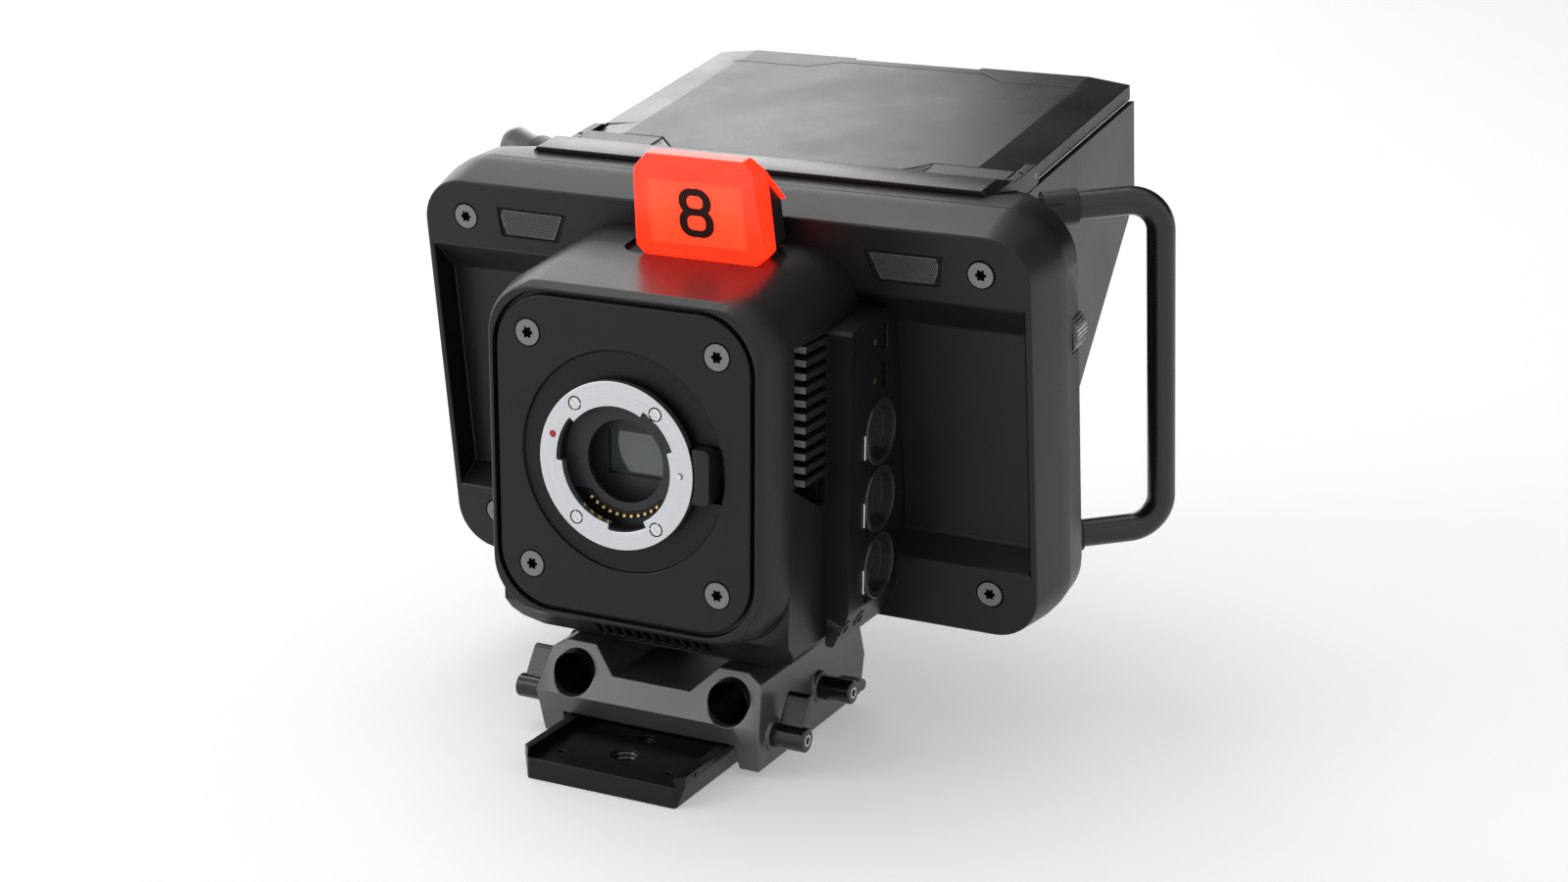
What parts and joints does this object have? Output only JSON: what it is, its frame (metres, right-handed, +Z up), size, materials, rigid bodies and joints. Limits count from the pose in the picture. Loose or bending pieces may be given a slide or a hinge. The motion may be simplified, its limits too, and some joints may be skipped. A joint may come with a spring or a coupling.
{
  "type": "studio camera",
  "caption": "Studio camera with a lens mount, tilted rear display housing with folding sun hood, tally light, side handles and a rod base on a quick-release plate.",
  "frame": {"origin": "centre of the large tripod thread, on the underside of the quick-release plate", "axes": "+Z up, -Y towards the scene along the lens axis, +X to the right seen from the scene"},
  "size_m": [0.272, 0.2579, 0.2091],
  "materials": {
    "shell": "satin",
    "plate": "satin",
    "screw_steel": "brushed",
    "ring_metal": "brushed",
    "throat_black": "matte",
    "contact_gold": "polished",
    "bright_steel": "polished",
    "black_plastic": "satin",
    "spring_steel": "brushed",
    "sensor_window": "polished",
    "sensor_face": "gloss",
    "board_green": "satin",
    "fin_metal": "satin",
    "fan_black": "satin",
    "panel_black": "satin",
    "socket_shell": "gloss",
    "lamp_amber": "gloss",
    "socket_steel": "satin",
    "grille_mesh": "satin",
    "display_black": "matte",
    "display_window": "gloss",
    "dial_metal": "satin",
    "handle_paint": "satin",
    "hood_shell": "satin",
    "tally_red": "gloss",
    "tally_light": "matte",
    "number_dark": "matte",
    "rod_metal": "satin",
    "knob_black": "gloss",
    "plate_black": "satin"
  },
  "bodies": {
    "camera": {"front_plate": "plate", "front_plate_screws": "screw_steel", "body_shell": "shell", "mount_ring": "ring_metal", "mount_ring_screws": "bright_steel", "mount_throat": "throat_black", "contact_pins": "contact_gold", "release_spring": "spring_steel", "sensor_glass": "sensor_window", "image_sensor": "sensor_face", "sensor_board": "board_green", "heat_sink": "fin_metal", "main_board": "board_green", "fan_frame": "fan_black", "side_panel_right": "panel_black", "audio_sockets": "socket_shell", "usb_sockets": "socket_steel", "status_lamps": "lamp_amber", "jack_sockets": "throat_black", "side_panel_left": "panel_black", "video_connectors": "socket_steel", "left_sockets": "socket_steel", "panel_screws": "black_plastic", "housing_front_shell": "shell", "housing_rear_shell": "shell", "housing_screws": "screw_steel", "mic_grilles": "grille_mesh", "mic_capsules": "black_plastic", "display_panel": "display_black", "display_glass": "display_window", "handle_right": "handle_paint", "handle_left": "handle_paint", "hood_base": "hood_shell", "hood_hinge_pins": "spring_steel", "tally_lens": "tally_red", "tally_core": "tally_light", "tally_number": "number_dark", "tally_foot": "black_plastic", "cradle_plate": "plate_black", "cradle_screws": "screw_steel", "rod_block": "rod_metal"},
    "release_button": {"lens_release_button": "black_plastic"},
    "lock_pin": {"lens_lock_pin": "bright_steel"},
    "fan_rotor": {"cooling_fan": "fan_black"},
    "tab_upper": {"socket_tab_upper": "bright_steel"},
    "tab_middle": {"socket_tab_middle": "bright_steel"},
    "tab_lower": {"socket_tab_lower": "bright_steel"},
    "right_dial": {"dial_right": "dial_metal"},
    "left_dial": {"dial_left": "dial_metal"},
    "button_1": {"function_button_1": "black_plastic"},
    "button_2": {"function_button_2": "black_plastic"},
    "button_3": {"function_button_3": "black_plastic"},
    "hood_top": {"hood_top_panel": "hood_shell"},
    "hood_right": {"hood_side_right": "hood_shell"},
    "hood_left": {"hood_side_left": "hood_shell"},
    "knob_front_right": {"clamp_knob_front_right": "knob_black"},
    "knob_front_left": {"clamp_knob_front_left": "knob_black"},
    "knob_rear_right": {"clamp_knob_rear_right": "knob_black"},
    "knob_rear_left": {"clamp_knob_rear_left": "knob_black"},
    "release_plate": {"quick_release_plate": "plate_black"}
  },
  "joints": [
    {"name": "lens_release", "type": "slide", "parent": "camera", "child": "release_button", "axis": [0, 1, 0], "range_m": [0, 0.0018], "stiffness_N_per_m": 1500, "springref_m": -0.0005},
    {"name": "lock_pin_retract", "type": "slide", "parent": "camera", "child": "lock_pin", "axis": [0, 1, 0], "range_m": [0, 0.0018]},
    {"name": "fan_spin", "type": "hinge", "parent": "camera", "child": "fan_rotor", "pos_m": [0, 0.046, 0.054], "axis": [0, 0, 1], "continuous": true},
    {"name": "socket_latch_upper", "type": "slide", "parent": "camera", "child": "tab_upper", "axis": [-1, 0, 0], "range_m": [0, 0.0012], "stiffness_N_per_m": 1200, "springref_m": -0.0005},
    {"name": "socket_latch_middle", "type": "slide", "parent": "camera", "child": "tab_middle", "axis": [-1, 0, 0], "range_m": [0, 0.0012], "stiffness_N_per_m": 1200, "springref_m": -0.0005},
    {"name": "socket_latch_lower", "type": "slide", "parent": "camera", "child": "tab_lower", "axis": [-1, 0, 0], "range_m": [0, 0.0012], "stiffness_N_per_m": 1200, "springref_m": -0.0005},
    {"name": "right_dial_turn", "type": "hinge", "parent": "camera", "child": "right_dial", "pos_m": [0.1124, 0.09808, 0.14603], "axis": [0, 0.9906, 0.1366], "continuous": true},
    {"name": "left_dial_turn", "type": "hinge", "parent": "camera", "child": "left_dial", "pos_m": [-0.1124, 0.09808, 0.14603], "axis": [0, 0.9906, 0.1366], "continuous": true},
    {"name": "function_press_1", "type": "slide", "parent": "camera", "child": "button_1", "axis": [0, -0.9906, -0.1366], "range_m": [0, 0.001], "stiffness_N_per_m": 1000, "springref_m": -0.0005},
    {"name": "function_press_2", "type": "slide", "parent": "camera", "child": "button_2", "axis": [0, -0.9906, -0.1366], "range_m": [0, 0.001], "stiffness_N_per_m": 1000, "springref_m": -0.0005},
    {"name": "function_press_3", "type": "slide", "parent": "camera", "child": "button_3", "axis": [0, -0.9906, -0.1366], "range_m": [0, 0.001], "stiffness_N_per_m": 1000, "springref_m": -0.0005},
    {"name": "hood_top_fold", "type": "hinge", "parent": "camera", "child": "hood_top", "pos_m": [0, 0.13578, 0.18959], "axis": [1, 0, 0], "range_deg": [-88, 0]},
    {"name": "hood_right_fold", "type": "hinge", "parent": "camera", "child": "hood_right", "pos_m": [0.0866, 0.13663, 0.11905], "axis": [0, -0.1366, 0.9906], "range_deg": [0, 88]},
    {"name": "hood_left_fold", "type": "hinge", "parent": "camera", "child": "hood_left", "pos_m": [-0.0866, 0.13306, 0.11855], "axis": [0, -0.1366, 0.9906], "range_deg": [-88, 0]},
    {"name": "front_right_clamp", "type": "hinge", "parent": "camera", "child": "knob_front_right", "pos_m": [0.05, 0.025, 0.014], "axis": [1, 0, 0], "range_deg": [-100, 160]},
    {"name": "front_left_clamp", "type": "hinge", "parent": "camera", "child": "knob_front_left", "pos_m": [-0.05, 0.025, 0.014], "axis": [1, 0, 0], "range_deg": [-100, 160]},
    {"name": "rear_right_clamp", "type": "hinge", "parent": "camera", "child": "knob_rear_right", "pos_m": [0.05, 0.061, 0.0184], "axis": [1, 0, 0], "range_deg": [-90, 170]},
    {"name": "rear_left_clamp", "type": "hinge", "parent": "camera", "child": "knob_rear_left", "pos_m": [-0.05, 0.061, 0.0184], "axis": [1, 0, 0], "range_deg": [-90, 170]},
    {"name": "plate_slide", "type": "slide", "parent": "camera", "child": "release_plate", "axis": [0, 1, 0], "range_m": [-0.04, 0.008]}
  ],
  "couplings": [
    {"joint": "lock_pin_retract", "follows": "lens_release", "ratio": 1}
  ]
}
